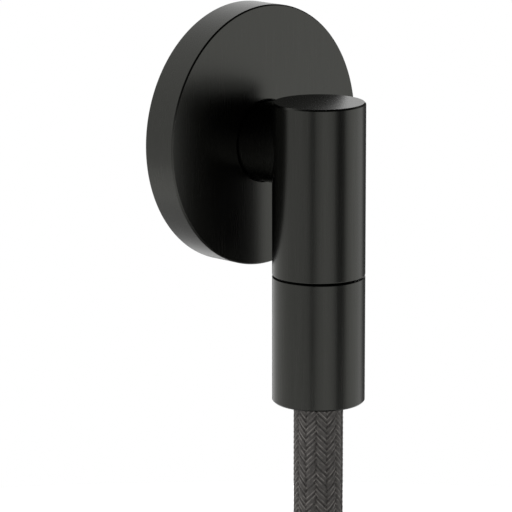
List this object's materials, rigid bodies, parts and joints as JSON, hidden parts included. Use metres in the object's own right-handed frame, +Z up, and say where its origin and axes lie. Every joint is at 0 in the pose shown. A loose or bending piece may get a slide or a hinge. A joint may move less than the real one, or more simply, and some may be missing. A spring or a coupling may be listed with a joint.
{
  "type": "shower hose wall outlet",
  "caption": "Wall outlet elbow on a round rosette, with a sleeve nut of the elbow's diameter and a braided shower hose hanging from it.",
  "frame": {"origin": "on the neck's axis in the plane of the finished wall", "axes": "+Z up, +Y into the wall along the neck's axis, -Y to the room"},
  "size_m": [0.1702, 0.094, 0.3805],
  "materials": {
    "brushed_black": "fine vertical brushing, dark coating, satin",
    "raw_brass": "turned, uncoated",
    "bright_steel": "bright stainless",
    "seal_rubber": "matt",
    "foam_rubber": "closed-cell foam",
    "hose_rubber": "matt",
    "valve_plastic": "moulded",
    "slip_plastic": "moulded",
    "hose_braid": "two-over-two herringbone braid, dark warm grey",
    "tie_strap": "hook-and-loop strap"
  },
  "bodies": {
    "outlet": {"wall_nipple": "raw_brass", "nipple_tip_seal": "seal_rubber", "nipple_o_rings": "seal_rubber", "grub_screw": "bright_steel", "elbow_body": "brushed_black", "outlet_nipple": "raw_brass", "outlet_o_ring": "seal_rubber", "check_valve_housing": "valve_plastic", "check_valve_o_ring": "seal_rubber", "check_valve_spring": "bright_steel", "check_valve_guide": "valve_plastic", "hose_washer": "seal_rubber", "hose_insert": "raw_brass", "crimp_ferrule": "bright_steel", "crimped_hose_end": "hose_rubber", "hose_tube": "hose_braid", "hose_coil": "hose_braid", "hose_tail": "hose_braid", "coil_tie_low": "tie_strap", "coil_tie_side": "tie_strap", "hand_shower_washer": "seal_rubber", "hand_shower_insert": "raw_brass", "hand_shower_slip_ring": "slip_plastic", "hand_shower_ferrule": "bright_steel", "hand_shower_hose_end": "hose_rubber"},
    "rosette_grip": {"rosette_grip_ring": "seal_rubber"},
    "rosette": {"wall_rosette": "brushed_black", "rosette_gasket": "foam_rubber"},
    "nut_slide": {"nut_slip_ring": "slip_plastic"},
    "nut": {"hose_nut": "brushed_black"},
    "poppet": {"check_valve_poppet": "valve_plastic", "poppet_seal": "seal_rubber"},
    "hand_nut": {"hand_shower_nut": "brushed_black"}
  },
  "joints": [
    {"name": "rosette_turn", "type": "hinge", "parent": "outlet", "child": "rosette_grip", "pos_m": [0, -0.0085, 0], "axis": [0, -1, 0], "continuous": true},
    {"name": "rosette_slide", "type": "slide", "parent": "rosette_grip", "child": "rosette", "axis": [0, -1, 0], "range_m": [0, 0.006]},
    {"name": "nut_travel", "type": "slide", "parent": "outlet", "child": "nut_slide", "axis": [0, 0, -1], "range_m": [0, 0.00997]},
    {"name": "nut_turn", "type": "hinge", "parent": "nut_slide", "child": "nut", "pos_m": [0, -0.0294, -0.05], "axis": [0, 0, -1], "range_deg": [0, 1980]},
    {"name": "valve_open", "type": "slide", "parent": "outlet", "child": "poppet", "axis": [0, 0, -1], "range_m": [0, 0.0025], "stiffness_N_per_m": 150, "springref_m": -0.004, "deforming": ["check_valve_spring"]},
    {"name": "hand_nut_turn", "type": "hinge", "parent": "outlet", "child": "hand_nut", "pos_m": [0.07353, -0.0662, -0.26536], "axis": [0.2586, -0.0426, -0.965], "continuous": true}
  ],
  "couplings": [
    {"joint": "nut_turn", "follows": "nut_travel", "rad_per_m": 3463.7}
  ]
}
